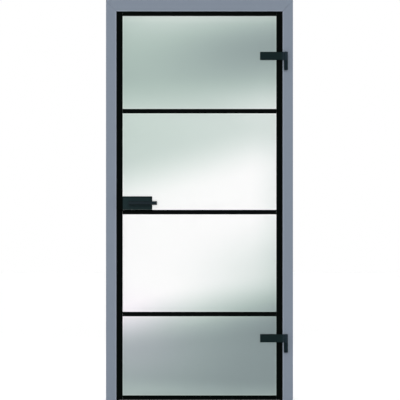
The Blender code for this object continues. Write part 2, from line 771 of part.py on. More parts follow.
# A flat bar with a round end over the spindle, on a neck that seats in its plate.
def build_lever(name, face_y, outward):
    half = LEVER_HEIGHT / 2
    outline = rounded((
        (-half, -half, half),
        (LEVER_REACH, -half, LEVER_ROUND),
        (LEVER_REACH, half, LEVER_ROUND),
        (-half, half, half),
    ), ARC_STEPS * 2)
    mesh = prism_mesh(name, outline, LEVER_DEPTH)
    mesh.transform(Matrix.Rotation(pi / 2, 4, "X"))
    middle = face_y + outward * (LEVER_STANDOFF + LEVER_DEPTH / 2)
    lever = piece(name, mesh, handle, HARDWARE, (SPINDLE_X, middle, LOCK_CENTRE))
    bevel(lever, LEVER_ARRIS)
    smooth(lever)
    neck = f"{name}_neck"
    foot = face_y - outward * NECK_SEAT
    start, end = sorted((foot, middle))
    place = (SPINDLE_X, LOCK_CENTRE)
    join(lever, tool(neck, rod_mesh(neck, NECK_RADIUS, start, end, place, "y", ROUND_SIDES), handle))
    socket = f"{name}_socket"
    side = SPINDLE_SIDE / 2 + FIT
    start, end = sorted((foot - outward * CUT_BEYOND, foot + outward * (SPINDLE_ENGAGEMENT + FIT)))
    cut(lever, tool(socket, box_mesh(
        socket,
        (SPINDLE_X - side, start, LOCK_CENTRE - side),
        (SPINDLE_X + side, end, LOCK_CENTRE + side),
    ), handle))


def build_handle():
    front = -LOCK_FRONT
    build_lever("lever_front", front, -1)
    build_lever("lever_rear", REAR_LOCK_Y, 1)
    side = SPINDLE_SIDE / 2
    piece("spindle", box_mesh(
        "spindle",
        (SPINDLE_X - side, front + NECK_SEAT - SPINDLE_ENGAGEMENT, LOCK_CENTRE - side),
        (SPINDLE_X + side, REAR_LOCK_Y - NECK_SEAT + SPINDLE_ENGAGEMENT, LOCK_CENTRE + side),
    ), handle, STEEL)


clear_scene()
parts = collection("glass_door")
cutters = collection("cutters", hidden=True)
root = empty("door_origin", (0, 0, 0))
root.location = -ORIGIN
frame = empty("frame", (0, 0, 0), root)
leaf = empty("leaf_axis", (AXIS_X, AXIS_Y, 0), root)
handle = empty("spindle_axis", (SPINDLE_X, 0, LOCK_CENTRE), leaf)

linings, casings = build_frame()
build_strike(casings["lock_side"])
build_glass()
build_strips()
build_hinges(linings["hinge_side"], casings["hinge_side"])
build_lock()
build_handle()
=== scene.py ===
from math import asin, cos, pi, radians

import bmesh
import bpy
import numpy as np
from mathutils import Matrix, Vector


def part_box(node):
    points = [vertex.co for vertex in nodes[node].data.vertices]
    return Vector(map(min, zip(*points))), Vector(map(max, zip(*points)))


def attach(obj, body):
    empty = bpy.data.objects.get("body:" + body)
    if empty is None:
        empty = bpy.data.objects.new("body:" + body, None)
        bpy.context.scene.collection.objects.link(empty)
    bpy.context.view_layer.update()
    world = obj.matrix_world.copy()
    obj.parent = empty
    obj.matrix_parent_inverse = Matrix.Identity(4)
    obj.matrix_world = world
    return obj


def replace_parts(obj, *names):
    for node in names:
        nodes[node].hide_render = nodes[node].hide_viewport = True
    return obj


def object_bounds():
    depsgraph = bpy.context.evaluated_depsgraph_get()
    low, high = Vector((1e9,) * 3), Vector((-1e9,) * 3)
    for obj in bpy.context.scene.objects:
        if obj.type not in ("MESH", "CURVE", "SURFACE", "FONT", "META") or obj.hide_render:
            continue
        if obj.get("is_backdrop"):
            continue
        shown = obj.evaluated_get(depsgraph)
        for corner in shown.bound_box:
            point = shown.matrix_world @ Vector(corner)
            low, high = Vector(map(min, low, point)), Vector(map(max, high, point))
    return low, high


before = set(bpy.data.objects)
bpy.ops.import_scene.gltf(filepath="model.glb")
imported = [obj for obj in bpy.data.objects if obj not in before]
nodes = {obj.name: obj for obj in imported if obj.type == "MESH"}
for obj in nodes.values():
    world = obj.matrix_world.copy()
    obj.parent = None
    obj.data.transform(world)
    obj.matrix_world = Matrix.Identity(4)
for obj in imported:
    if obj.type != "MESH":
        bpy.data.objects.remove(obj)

cadLow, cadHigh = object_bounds()
glassLow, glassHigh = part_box("glass_leaf")
middleX = (glassLow.x + glassHigh.x) / 2  # centre line of the opening
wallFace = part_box("casing_front_head")[0].y  # front face of the casings
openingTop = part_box("casing_front_head")[0].z
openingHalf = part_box("casing_front_hinge_side")[0].x - middleX
fit = 0.0003  # gap between pieces that touch
print("frame loaded:", len(nodes), "pieces")


# camera

picture = {
    "lens": 300.0,
    "sensor": 36.0,
    "across": 2.034,  # metres that the picture shows at the casing's front
    "aside": 0.0026,  # from the opening's centre line
    "height": 1.0263,
    "clipEnd": 200,
}


def makeCamera():
    data = bpy.data.cameras.new("pictureCamera")
    data.lens = picture["lens"]
    data.sensor_width = picture["sensor"]
    data.clip_end = picture["clipEnd"]
    camera = bpy.data.objects.new("pictureCamera", data)
    away = picture["across"] * picture["lens"] / picture["sensor"]
    camera.location = (middleX + picture["aside"], wallFace - away, picture["height"])
    camera.rotation_euler = (radians(90), 0, 0)
    bpy.context.collection.objects.link(camera)
    bpy.context.scene.camera = camera
    bpy.context.scene.view_settings.view_transform = "Standard"


makeCamera()


# node helpers

def addNode(tree, kind, settings=None, inputs=None):
    node = tree.nodes.new("ShaderNode" + kind)
    for name, value in (settings or {}).items():
        setattr(node, name, value)
    for name, value in (inputs or {}).items():
        setSocket(tree, node.inputs[name], value)
    return node


def setSocket(tree, socket, value):
    if isinstance(value, bpy.types.NodeSocket):
        tree.links.new(value, socket)
    else:
        socket.default_value = value


def calc(tree, operation, *values, clamp=False):
    node = addNode(tree, "Math", {"operation": operation, "use_clamp": clamp})
    for index, value in enumerate(values):
        setSocket(tree, node.inputs[index], value)
    return node.outputs[0]


# Goes smoothly from 0 where the value is first to 1 where it is last.
def ease(tree, value, first, last):
    node = addNode(tree, "MapRange", {"interpolation_type": "SMOOTHSTEP"}, {
        "Value": value, "From Min": first, "From Max": last,
    })
    return node.outputs["Result"]


def mixColour(tree, factor, first, second, blend="MIX"):
    node = addNode(tree, "Mix", {"data_type": "RGBA", "blend_type": blend})
    setSocket(tree, node.inputs[0], factor)
    setSocket(tree, node.inputs[6], first)
    setSocket(tree, node.inputs[7], second)
    return node.outputs[2]


def noise(tree, vector, scale, detail=3.0, rough=0.5):
    node = addNode(tree, "TexNoise", {}, {
        "Vector": vector, "Scale": scale, "Detail": detail, "Roughness": rough,
    })
    return node.outputs[0]


# Object coordinates moved so that x counts from the centre line and y from the casing's front.
def doorCoordinates(tree, scale=(1, 1, 1)):
    source = addNode(tree, "TexCoord")
    node = addNode(tree, "Mapping", {}, {
        "Vector": source.outputs["Object"],
        "Location": (-middleX * scale[0], -wallFace * scale[1], 0),
        "Scale": scale,
    })
    return node.outputs["Vector"]


def axes(tree, vector):
    node = addNode(tree, "SeparateXYZ", {}, {0: vector})
    return node.outputs[0], node.outputs[1], node.outputs[2]


def newMaterial(name, plain):
    made = bpy.data.materials.new(name)
    made.use_nodes = True
    tree = made.node_tree
    shader = tree.nodes["Principled BSDF"]
    for socket, value in plain.items():
        shader.inputs[socket].default_value = value
    return made, tree, shader


# Links a material's colour, roughness and bump.
def link(tree, shader, colour, roughness, height, strength, distance):
    bump = addNode(tree, "Bump", {}, {"Height": height, "Strength": strength, "Distance": distance})
    tree.links.new(colour, shader.inputs["Base Color"])
    tree.links.new(roughness, shader.inputs["Roughness"])
    tree.links.new(bump.outputs[0], shader.inputs["Normal"])


def newGroup(name, inputs, outputs):
    group = bpy.data.node_groups.new(name, "ShaderNodeTree")
    kinds = {"value": "NodeSocketFloat", "vector": "NodeSocketVector", "colour": "NodeSocketColor"}
    for label, (kind, default) in inputs.items():
        socket = group.interface.new_socket(name=label, in_out="INPUT", socket_type=kinds[kind])
        if default is not None:
            socket.default_value = default
    for label, kind in outputs.items():
        group.interface.new_socket(name=label, in_out="OUTPUT", socket_type=kinds[kind])
    start = group.nodes.new("NodeGroupInput")
    end = group.nodes.new("NodeGroupOutput")
    return group, start.outputs, end.inputs


def useGroup(tree, group, inputs):
    node = tree.nodes.new("ShaderNodeGroup")
    node.node_tree = group
    for name, value in inputs.items():
        setSocket(tree, node.inputs[name], value)
    return node.outputs


# shared effects

skinLook = {
    "fineRatio": 4.7,  # scale of the fine waves against the broad ones
    "fineShare": 0.25,
    "cloudScale": 7.0,
}


# Fine skin of a sprayed or moulded surface: small waves plus a cloudy change of gloss.
# Roughness = gloss + 2 x (cloud - 0.5) x change of gloss.
def makeSkin():
    group, start, end = newGroup("surfaceSkin", {
        "Vector": ("vector", None), "Wave Scale": ("value", 420.0),
        "Gloss": ("value", 0.4), "Gloss Change": ("value", 0.06),
    }, {"Height": "value", "Roughness": "value", "Cloud": "value"})
    waves = noise(group, start["Vector"], start["Wave Scale"], detail=2.0)
    fineScale = calc(group, "MULTIPLY", start["Wave Scale"], skinLook["fineRatio"])
    fine = noise(group, start["Vector"], fineScale, detail=1.0)
    cloud = noise(group, start["Vector"], skinLook["cloudScale"], detail=4.0, rough=0.6)
    tune = calc(group, "MULTIPLY", calc(group, "SUBTRACT", cloud, 0.5), start["Gloss Change"])
    group.links.new(calc(group, "MULTIPLY_ADD", fine, skinLook["fineShare"], waves), end["Height"])
    group.links.new(calc(group, "MULTIPLY_ADD", tune, 2.0, start["Gloss"]), end["Roughness"])
    group.links.new(cloud, end["Cloud"])
    return group


rimCore = 0.35  # share of a rim's width that has its full tone


# How near a point lies to the sides of a box: 1 on the side, 0 a width inside it.
def makeRims():
    group, start, end = newGroup("boxRims", {
        "Vector": ("vector", None), "Low": ("vector", None), "High": ("vector", None),
        "Width": ("value", 0.004),
    }, {"Left": "value", "Right": "value", "Bottom": "value", "Top": "value"})
    x, _, z = axes(group, start["Vector"])
    lowX, _, lowZ = axes(group, start["Low"])
    highX, _, highZ = axes(group, start["High"])
    for label, distance in (
        ("Left", calc(group, "SUBTRACT", x, lowX)),
        ("Right", calc(group, "SUBTRACT", highX, x)),
        ("Bottom", calc(group, "SUBTRACT", z, lowZ)),
        ("Top", calc(group, "SUBTRACT", highZ, z)),
    ):
        share = calc(group, "DIVIDE", distance, start["Width"])
        group.links.new(ease(group, share, 1.0, rimCore), end[label])
    return group


# Short parallel scratches: noise squeezed along one direction.
def makeBrushing():
    group, start, end = newGroup("brushing", {
        "Vector": ("vector", None), "Stretch": ("vector", (40.0, 900.0, 900.0)),
        "Gloss": ("value", 0.3), "Depth": ("value", 0.12),
    }, {"Height": "value", "Roughness": "value"})
    squeezed = addNode(group, "VectorMath", {"operation": "MULTIPLY"}, {
        0: start["Vector"], 1: start["Stretch"],
    }).outputs[0]
    lines = noise(group, squeezed, 1.0, rough=0.6)
    group.links.new(lines, end["Height"])
    group.links.new(calc(group, "MULTIPLY_ADD", lines, start["Depth"], start["Gloss"]), end["Roughness"])
    return group


# A soft edge of painted light and shade across the glass: 0 below the line, 1 above it; the line climbs with
# x.
def makeSoftEdge():
    group, start, end = newGroup("softEdge", {
        "Vector": ("vector", None), "Height": ("value", 1.0), "Climb": ("value", 0.0),
        "Softness": ("value", 0.2),
    }, {"Share": "value"})
    x, _, z = axes(group, start["Vector"])
    above = calc(group, "SUBTRACT", z, start["Height"])
    above = calc(group, "MULTIPLY_ADD", calc(group, "MULTIPLY", x, start["Climb"]), -1.0, above)
    group.links.new(ease(group, calc(group, "DIVIDE", above, start["Softness"]), -1.0, 1.0), end["Share"])
    return group


# A soft oval of painted light and shade on the glass: 1 in its middle, 0 at its rim.
def makeSoftOval():
    group, start, end = newGroup("softOval", {
        "Vector": ("vector", None), "Centre": ("vector", None), "Reach": ("vector", (0.3, 1.0, 0.3)),
    }, {"Share": "value"})
    away = addNode(group, "VectorMath", {"operation": "SUBTRACT"}, {
        0: start["Vector"], 1: start["Centre"],
    }).outputs[0]
    share = addNode(group, "VectorMath", {"operation": "DIVIDE"}, {0: away, 1: start["Reach"]}).outputs[0]
    length = addNode(group, "VectorMath", {"operation": "LENGTH"}, {0: share}).outputs["Value"]
    group.links.new(ease(group, length, 1.0, 0.0), end["Share"])
    return group


surfaceSkin = makeSkin()
boxRims = makeRims()
brushing = makeBrushing()
softEdge = makeSoftEdge()
softOval = makeSoftOval()


# The skin with a finish's own waves; the gloss is the finish's own unless another is given.
def skinOf(tree, place, look, gloss=None):
    return useGroup(tree, surfaceSkin, {
        "Vector": place, "Wave Scale": look["waves"], "Gloss": look["gloss"] if gloss is None else gloss,
        "Gloss Change": look["glossChange"],
    })


print("shared effects built")


# timber: sprayed satin lacquer on the faces that show, bare board behind

timber = {
    "colour": (0.209, 0.247, 0.304, 1),
    "cloudColour": (0.203, 0.241, 0.298, 1),
    # painted highlight along the arris round the opening
    "arrisHighlightColour": (0.276, 0.318, 0.384, 1),
    "arrisHighlightWidth": 0.0045,
    # painted shade along the mitre joints
    "mitreShadeColour": (0.176, 0.202, 0.260, 1),
    "mitreWidth": 0.0011,
    "mitreStart": 0.001,  # out from the rebate wall
    "faceDepth": (0.004, 0.002),  # behind the casing's front, where the painted arris highlight stops
    "gloss": 0.42,
    "glossChange": 0.05,
    "waves": 260.0,
    "shine": 0.35,
    "bump": 0.25,
    "boardColour": (0.33, 0.25, 0.165, 1),
    "boardFibre": (0.20, 0.145, 0.09, 1),
    "fibreScale": (90, 90, 12),
    "fibreTones": (0.35, 0.7),
    "fibreHeight": 4.0,  # against the lacquer's waves
    "boardDull": 0.4,
    # where bare board starts: out from the rebate wall, behind a casing's front, before a rear casing
    "liningBare": (0.0092, 0.0096),
    "casingBare": (0.0085, 0.0095),
    "casingBack": (0.0154, 0.0158),
    "rearCasing": (0.1566, 0.1562),
}


def makeTimber(name, boardMask):
    made, tree, shader = newMaterial(name, {"Specular IOR Level": timber["shine"]})
    place = doorCoordinates(tree)
    x, y, z = axes(tree, place)
    skin = skinOf(tree, place, timber)
    paint = mixColour(tree, skin["Cloud"], timber["colour"], timber["cloudColour"])
    # painted highlight: a lighter line along the arris round the opening
    fromSide = calc(tree, "SUBTRACT", calc(tree, "ABSOLUTE", x), openingHalf)
    fromTop = calc(tree, "SUBTRACT", z, openingTop)
    outwards = calc(tree, "MAXIMUM", fromSide, fromTop)
    arrisHighlight = ease(tree, outwards, timber["arrisHighlightWidth"] * 1.5, timber["arrisHighlightWidth"] * 0.5)
    onFace = ease(tree, y, *timber["faceDepth"])
    paint = mixColour(tree, calc(tree, "MULTIPLY", arrisHighlight, onFace), paint, timber["arrisHighlightColour"])
    # painted shade: a darker line along the mitre joints
    offMitre = calc(tree, "ABSOLUTE", calc(tree, "SUBTRACT", fromSide, fromTop))
    mitreShade = ease(tree, offMitre, timber["mitreWidth"] * 2, timber["mitreWidth"] * 0.5)
    mitreShade = calc(tree, "MULTIPLY", mitreShade, ease(tree, outwards, 0.0, timber["mitreStart"]))
    paint = mixColour(tree, mitreShade, paint, timber["mitreShadeColour"])
    # bare board
    fibre = noise(tree, doorCoordinates(tree, timber["fibreScale"]), 1.0, detail=5.0, rough=0.65)
    fibreShare = ease(tree, fibre, *timber["fibreTones"])
    board = mixColour(tree, fibreShare, timber["boardColour"], timber["boardFibre"])
    bare = boardMask(tree, outwards, y)
    colour = mixColour(tree, bare, paint, board)
    rough = calc(tree, "MULTIPLY_ADD", bare, timber["boardDull"], skin["Roughness"], clamp=True)
    bareFibre = calc(tree, "MULTIPLY", fibre, bare)
    height = calc(tree, "MULTIPLY_ADD", bareFibre, timber["fibreHeight"], skin["Height"])
    link(tree, shader, colour, rough, height, timber["bump"], distance=0.0002)
    return made


# The lining is bare on the face towards the wall; a casing on its back.
def liningBoard(tree, outwards, _):
    return ease(tree, outwards, *timber["liningBare"])


def casingBoard(tree, outwards, y):
    behind = ease(tree, y, *timber["casingBack"])
    front = calc(tree, "MULTIPLY", behind, ease(tree, outwards, *timber["casingBare"]))
    return calc(tree, "MULTIPLY", front, ease(tree, y, *timber["rearCasing"]))


liningTimber = makeTimber("lacqueredLining", liningBoard)
casingTimber = makeTimber("lacqueredCasing", casingBoard)


# rubber seal

seal = {
    "colour": (0.0035, 0.0045, 0.0045, 1),
    "bloomColour": (0.0055, 0.0062, 0.006, 1),
    "gloss": 0.62,
    "glossChange": 0.15,
    "waves": 1500.0,
    "shine": 0.15,
    "bump": 0.3,
}


def makeRubber():
    made, tree, shader = newMaterial("sealRubber", {"Specular IOR Level": seal["shine"]})
    skin = skinOf(tree, doorCoordinates(tree), seal)
    bloom = mixColour(tree, skin["Cloud"], seal["colour"], seal["bloomColour"])
    link(tree, shader, bloom, skin["Roughness"], skin["Height"], seal["bump"], distance=0.0002)
    return made


sealRubber = makeRubber()


# black strips

strips = {
    "colour": (0.0008, 0.0016, 0.0014, 1),
    "crestColour": (0.0018, 0.0028, 0.0024, 1),
    "gloss": 0.4,
    "glossChange": 0.12,
    "waves": 900.0,
    "shine": 0.015,
    "drawn": (500.0, 500.0, 14.0),
    "drawnShare": 0.5,
    "bump": 0.2,
}


def makeBlackStrip():
    made, tree, shader = newMaterial("blackStrip", {"Specular IOR Level": strips["shine"]})
    place = doorCoordinates(tree)
    skin = skinOf(tree, place, strips)
    drawn = useGroup(tree, brushing, {"Vector": place, "Stretch": strips["drawn"]})
    colour = mixColour(tree, skin["Cloud"], strips["colour"], strips["crestColour"])
    height = calc(tree, "MULTIPLY_ADD", drawn["Height"], strips["drawnShare"], skin["Height"])
    link(tree, shader, colour, skin["Roughness"], height, strips["bump"], distance=0.0001)
    return made


blackStrip = makeBlackStrip()


# anthracite hardware

hardware = {
    # rim is painted shade along the top edge and the end, foot a painted tone along the lower edge: painted
    # highlight on the lock, painted shade on the lever
    "hinge": {
        "colour": (0.0085, 0.0165, 0.0170, 1), "rim": (0.0055, 0.0105, 0.0110, 1), "rimWidth": 0.004,
        "metal": 1.0, "stretch": (9.0, 260.0, 700.0),
    },
    "lock": {
        "colour": (0.0128, 0.0245, 0.0268, 1), "rim": (0.0040, 0.0100, 0.0100, 1), "rimWidth": 0.0100,
        "foot": (0.0280, 0.0410, 0.0400, 1), "footWidth": 0.0055, "metal": 0.3,
        "stretch": (9.0, 260.0, 700.0),
    },
    "barrel": {
        "colour": (0.0074, 0.0146, 0.0186, 1), "rim": (0.0050, 0.0098, 0.0120, 1), "rimWidth": 0.002,
        "metal": 1.0, "stretch": (500.0, 500.0, 60.0),
    },
    "lever": {
        "colour": (0.0120, 0.0190, 0.0232, 1), "rim": (0.0078, 0.0140, 0.0165, 1), "rimWidth": 0.0045,
        "foot": (0.0060, 0.0112, 0.0120, 1), "footWidth": 0.0045, "metal": 0.3,
        "stretch": (9.0, 260.0, 1500.0),
    },
    "rimShadeShare": 0.9,
    "gloss": 0.36,
    "glossChange": 0.06,
    "waves": 1200.0,
    "shine": 0.05,
    "bump": 0.15,
    "streakTint": (1.18, 1.18, 1.18, 1),
    "streakTones": (0.3, 0.75),
    "streakGloss": 0.1,
    "streakHeight": 0.6,
    # painted highlight towards the knuckle and in its crease
    "knuckleHighlightColour": (0.0150, 0.0255, 0.0330, 1),
    "knuckleReach": (0.016, 0.002),  # left of the crease
    "creaseHighlightColour": (0.0240, 0.0400, 0.0480, 1),
    "creaseReach": (0.0045, 0.001),  # to both sides of the crease
}


def makeAnthracite(name, finish, low, high, crease=None):
    plain = {"Metallic": finish["metal"], "Specular IOR Level": hardware["shine"]}
    made, tree, shader = newMaterial(name, plain)
    source = addNode(tree, "TexCoord").outputs["Object"]
    place = doorCoordinates(tree)
    box = {"Vector": source, "Low": low, "High": high}
    rims = useGroup(tree, boxRims, {**box, "Width": finish["rimWidth"]})
    # painted shade along the top edge and the end
    shade = rims["Top"] if crease else calc(tree, "MAXIMUM", rims["Top"], rims["Right"])
    streaks = useGroup(tree, brushing, {"Vector": place, "Stretch": finish["stretch"],
                                        "Gloss": hardware["gloss"], "Depth": hardware["streakGloss"]})
    skin = skinOf(tree, place, hardware, streaks["Roughness"])
    shade = calc(tree, "MULTIPLY", shade, hardware["rimShadeShare"])
    tone = mixColour(tree, shade, finish["colour"], finish["rim"])
    # painted tone along the lower edge: painted highlight on the lock, painted shade on the lever
    if "foot" in finish:
        foot = useGroup(tree, boxRims, {**box, "Width": finish["footWidth"]})["Bottom"]
        tone = mixColour(tree, foot, tone, finish["foot"])
    streakShare = ease(tree, streaks["Height"], *hardware["streakTones"])
    tone = mixColour(tree, streakShare, tone, hardware["streakTint"], "MULTIPLY")
    if crease:
        # painted highlight: the plate turns paler towards the knuckle, most of all in the crease beside it
        x = axes(tree, source)[0]
        first, last = hardware["knuckleReach"]
        knuckleHighlight = ease(tree, x, crease - first, crease - last)
        tone = mixColour(tree, knuckleHighlight, tone, hardware["knuckleHighlightColour"])
        beside = calc(tree, "ABSOLUTE", calc(tree, "SUBTRACT", x, crease))
        creaseHighlight = ease(tree, beside, *hardware["creaseReach"])
        tone = mixColour(tree, creaseHighlight, tone, hardware["creaseHighlightColour"])
    height = calc(tree, "MULTIPLY_ADD", streaks["Height"], hardware["streakHeight"], skin["Height"])
    link(tree, shader, tone, skin["Roughness"], height, hardware["bump"], distance=0.0001)
    return made


# brushed steel

steel = {
    "colour": (0.42, 0.43, 0.44, 1),
    "dull": (0.30, 0.31, 0.32, 1),
    "gloss": 0.24,
    "glossChange": 0.1,
    "waves": 800.0,
    "stretch": (700.0, 700.0, 25.0),
    "lineGloss": 0.22,
    "bump": 0.25,
}


def makeSteel():
    made, tree, shader = newMaterial("brushedSteel", {"Metallic": 1.0})
    place = doorCoordinates(tree)
    lines = useGroup(tree, brushing, {"Vector": place, "Stretch": steel["stretch"],
                                      "Gloss": steel["gloss"], "Depth": steel["lineGloss"]})
    skin = skinOf(tree, place, steel, lines["Roughness"])
    tone = mixColour(tree, skin["Cloud"], steel["colour"], steel["dull"])
    link(tree, shader, tone, skin["Roughness"], lines["Height"], steel["bump"], distance=0.0001)
    return made


brushedSteel = makeSteel()


# satin glass: its colour carries painted light and shade, broad pale and dark fields standing in for a soft
# daylit room seen through its etched side

glass = {
    "transmission": 0.97,
    "bending": 1.5,
    "shine": 0.4,
    "middle": 0.015,  # of the glass's thickness, from the casing's front
    "gloss": 0.32,
    "glossChange": 0.04,
    "waves": 1800.0,
    "bump": 0.08,
    "ground": 0.652,  # painted light at the foot of the leaf
    "edges": (  # painted light and shade: height, climb, softness, change of tone above the line
        (0.076, -0.04, 0.054, -0.090),
        (0.456, 0.12, 0.167, 0.421),
        (1.215, 0.27, 0.137, -0.136),
        (1.545, -0.01, 0.127, -0.129),
        (1.859, -0.61, 0.355, 0.272),
        (1.938, 0.0, 0.020, 0.030),
    ),
    "lightShadeOvals": (  # painted light and shade: centre x, centre z, reach x, reach z, change of tone
        (0.494, 1.834, 0.90, 0.354, -0.349),
        (-0.492, 0.280, 0.90, 0.425, 0.124),
        (0.405, 1.024, 0.157, 0.80, -0.044),
        (-0.485, 1.372, 0.90, 0.516, -0.044),
        (0.698, 0.627, 0.90, 0.38, -0.161),
        (-0.400, 0.420, 0.30, 0.13, 0.022),
    ),
    "brightest": 0.985,  # tones stop here
    "strength": 1.099,
    "contrast": 2.315,
    "tints": (  # green in the shade, grey-green in half light, neutral in full light
        (0.530, (0.745, 0.955, 0.985, 1)),
        (0.720, (0.817, 1.000, 0.942, 1)),
        (0.860, (0.884, 0.977, 0.942, 1)),
        (0.985, (0.942, 0.942, 0.942, 1)),
    ),
    "edgeColour": (0.10, 0.26, 0.20, 1),
    "edgeReach": (0.0010, 0.0004),  # inside the cut edge
    "rimHighlight": 0.065,  # painted highlight: a brighter line where the pane meets a strip
    "rimWidth": 0.0065,
    "tintOvals": (  # painted tints of the light: centre x, centre z, reach x, reach z, tint
        (-0.36, 0.330, 0.46, 0.32, (1.000, 0.920, 1.000, 1)),
        (-0.43, 1.650, 1.00, 0.93, (1.012, 1.042, 1.009, 1)),
        (-0.42, 0.246, 1.00, 0.37, (1.039, 1.012, 1.030, 1)),
    ),
}


# Mask of the painted highlight beside the strips: 1 beside a strip, 0 a rim's width away from it.
def paneHighlights(tree, x, z):
    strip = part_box("front_stile_hinge_side")[0].x - middleX
    distance = calc(tree, "SUBTRACT", strip, calc(tree, "ABSOLUTE", x))
    for name in ("rail_top", "bar_upper", "bar_middle", "bar_lower", "rail_bottom"):
        low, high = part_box(f"front_{name}")
        away = calc(tree, "MAXIMUM", calc(tree, "SUBTRACT", low.z, z), calc(tree, "SUBTRACT", z, high.z))
        distance = calc(tree, "MINIMUM", distance, away)
    return ease(tree, distance, glass["rimWidth"], glass["rimWidth"] * 0.5)


# A soft oval in the glass, given by its middle and its reach across and up.
def ovalShare(tree, place, x, z, reachX, reachZ):
    return useGroup(tree, softOval, {"Vector": place, "Centre": (x, glass["middle"], z),
                                     "Reach": (reachX, 1.0, reachZ)})["Share"]


def makeGlass():
    made, tree, shader = newMaterial("satinGlass", {
        "Transmission Weight": glass["transmission"], "IOR": glass["bending"],
        "Specular IOR Level": glass["shine"],
    })
    place = doorCoordinates(tree)
    tone = None
    # painted light and shade of a room seen through the glass
    for height, climb, softness, change in glass["edges"]:
        share = useGroup(tree, softEdge, {"Vector": place, "Height": height, "Climb": climb,
                                          "Softness": softness})["Share"]
        tone = calc(tree, "MULTIPLY_ADD", share, change, glass["ground"] if tone is None else tone)
    for *oval, change in glass["lightShadeOvals"]:
        tone = calc(tree, "MULTIPLY_ADD", ovalShare(tree, place, *oval), change, tone)
    x, _, z = axes(tree, place)
    # painted highlight along the strips
    tone = calc(tree, "MULTIPLY_ADD", paneHighlights(tree, x, z), glass["rimHighlight"], tone)
    # colour = tint x strength x tone to the power of the contrast
    tone = calc(tree, "MINIMUM", tone, glass["brightest"])
    light = calc(tree, "MULTIPLY", calc(tree, "POWER", tone, glass["contrast"]), glass["strength"])
    ramp = addNode(tree, "ValToRGB", {}, {"Fac": tone})
    stops = ramp.color_ramp.elements
    while len(stops) < len(glass["tints"]):
        stops.new(0.5)
    for stop, (where, tint) in zip(stops, glass["tints"]):
        stop.position = where
        stop.color = tint
    shown = mixColour(tree, 1.0, ramp.outputs[0], light, "MULTIPLY")
    # painted tints of the light
    for *oval, tint in glass["tintOvals"]:
        shown = mixColour(tree, ovalShare(tree, place, *oval), shown, tint, "MULTIPLY")
    # cut edges show the glass's own green
    half = (glassHigh.x - glassLow.x) / 2
    first, last = glass["edgeReach"]
    side = ease(tree, calc(tree, "ABSOLUTE", x), half - first, half - last)
    top = ease(tree, z, glassHigh.z - first, glassHigh.z - last)
    foot = ease(tree, z, glassLow.z + first, glassLow.z + last)
    edge = calc(tree, "MAXIMUM", calc(tree, "MAXIMUM", side, top), foot)
    colour = mixColour(tree, edge, shown, glass["edgeColour"])
    skin = skinOf(tree, place, glass)
    link(tree, shader, colour, skin["Roughness"], skin["Height"], glass["bump"], distance=0.0001)
    return made


satinGlass = makeGlass()
print("finishes built")


# finishes on the pieces

def dress(name, material):
    slots = nodes[name].material_slots
    if slots:
        for slot in slots:
            slot.material = material
    else:
        nodes[name].data.materials.append(material)


for name in nodes:
    if name.startswith("lining"):
        dress(name, liningTimber)
    elif name.startswith("casing"):
        dress(name, casingTimber)
    elif name == "glass_leaf":
        dress(name, satinGlass)
    elif name.startswith(("front_", "rear_")) or name == "lock_nose":
        dress(name, blackStrip)
    elif name in ("spindle", "latch_bolt"):
        dress(name, brushedSteel)
    elif name.startswith("lock") or name.endswith("clamp_plate"):
        finish = hardware["lock" if name.startswith("lock") else "hinge"]
        dress(name, makeAnthracite(f"anthracite_{name}", finish, *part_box(name)))
print("finishes placed")


# surfaces worked out as arrays

def addPiece(name, mesh, material, body, smoothUpTo=radians(32)):
    mesh.shade_smooth()
    mesh.set_sharp_from_angle(angle=smoothUpTo)
    mesh.materials.append(material)
    made = bpy.data.objects.new(name, mesh)
    bpy.context.collection.objects.link(made)
    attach(made, body)
    return made


# A grid of rows by columns, whose rows are closed loops. A ring's last row joins its first; otherwise a flat
# cap closes each end.
def loopMesh(name, points, material, body, ring=False):
    rows, columns = points.shape[:2]
    index = np.arange(rows * columns).reshape(rows, columns)
    here = index if ring else index[:-1]
    above = np.roll(index, -1, 0) if ring else index[1:]
    quads = np.stack((here, np.roll(here, -1, 1), np.roll(above, -1, 1), above), -1).reshape(-1, 4)
    faces = quads.tolist()
    if not ring:
        faces += [index[0][::-1].tolist(), index[-1].tolist()]
    mesh = bpy.data.meshes.new(name)
    mesh.from_pydata(points.reshape(-1, 3).tolist(), [], faces)
    return addPiece(name, mesh, material, body)


# Corners are x, y and radius, run counterclockwise. Each one becomes an arc that touches both of its sides:
# the arc's centre lies on the bisector at radius / sin(half the corner's angle).
# Gives points and outward normals, each as corners by steps by 2.
def arcCorners(corners, steps=10):
    corners = np.array(corners, float)
    points, radius = corners[:, :2], corners[:, 2]
    arriving = points - np.roll(points, 1, 0)
    leaving = np.roll(points, -1, 0) - points
    arriving /= np.linalg.norm(arriving, axis=1, keepdims=True)
    leaving /= np.linalg.norm(leaving, axis=1, keepdims=True)
    first = np.arctan2(-arriving[:, 0], arriving[:, 1])
    last = np.arctan2(-leaving[:, 0], leaving[:, 1])
    turn = (last - first + pi) % (2 * pi) - pi
    bisector = leaving - arriving
    bisector /= np.linalg.norm(bisector, axis=1, keepdims=True)
    centre = points + bisector * (radius / np.cos(turn / 2))[:, None]
    angle = first[:, None] + turn[:, None] * np.linspace(0, 1, steps + 1)
    normals = np.stack((np.cos(angle), np.sin(angle)), -1)
    arcs = centre[:, None] + (np.sign(turn) * radius)[:, None, None] * normals
    return arcs, normals


